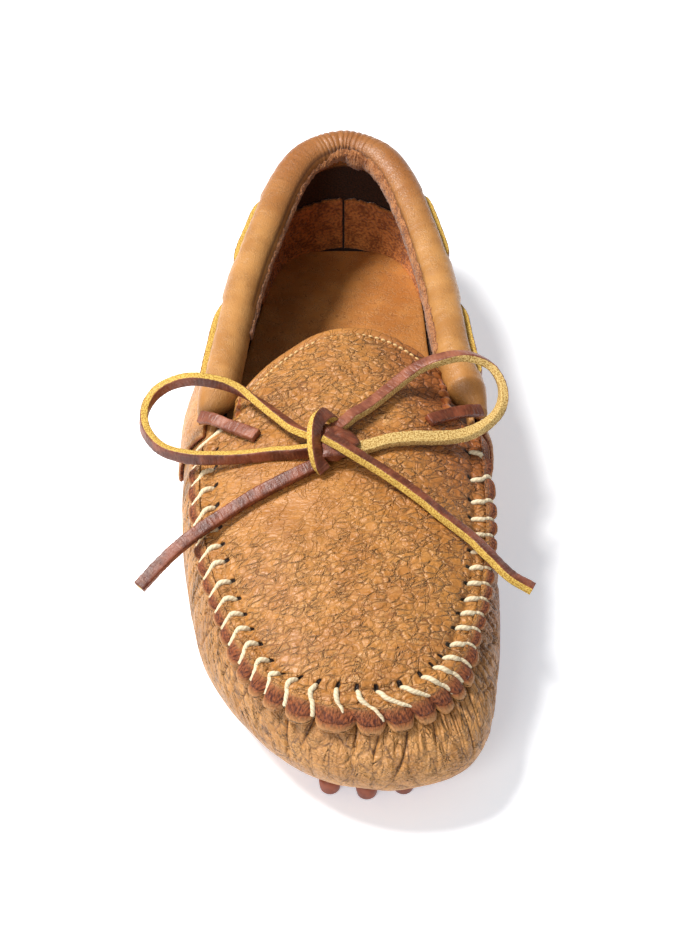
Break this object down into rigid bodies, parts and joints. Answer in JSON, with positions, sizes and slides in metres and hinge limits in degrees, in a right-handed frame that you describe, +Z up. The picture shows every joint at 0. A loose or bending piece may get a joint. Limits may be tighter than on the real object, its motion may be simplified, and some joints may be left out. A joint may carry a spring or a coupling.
{
  "type": "driving moccasin",
  "caption": "Right driving moccasin with a hand sewn apron toe, padded collar, studded rubber sole and a rawhide lace tied in a bow.",
  "frame": {"origin": "centre of the box of the shoe without its bow, on the ground under the studs", "axes": "toe towards -Y, heel towards +Y, +X the inner (big toe) side of this right shoe, +Z up"},
  "size_m": [0.1304, 0.286, 0.0683],
  "materials": {
    "upper_leather": "waxed pull-up leather",
    "plug_leather": "waxed grained leather",
    "collar_leather": "soft smooth leather",
    "insole_leather": "fine grained leather",
    "sole_rubber": "satin moulded rubber",
    "lace_rawhide": "oiled rawhide with raw edges"
  },
  "bodies": {
    "root": {"upper": "upper_leather", "plug": "plug_leather", "quarter": "upper_leather", "collar": "collar_leather", "insole": "insole_leather", "outsole": "sole_rubber", "lace_inner_rear": "lace_rawhide", "lace_inner_front": "lace_rawhide", "lace_outer_front": "lace_rawhide", "lace_outer_rear": "lace_rawhide", "lace_bar_inner": "lace_rawhide", "lace_bar_outer": "lace_rawhide", "lace_knot": "lace_rawhide", "lace_loop_inner": "lace_rawhide", "lace_loop_outer": "lace_rawhide", "lace_end_inner": "lace_rawhide", "lace_end_outer": "lace_rawhide"}
  },
  "joints": []
}
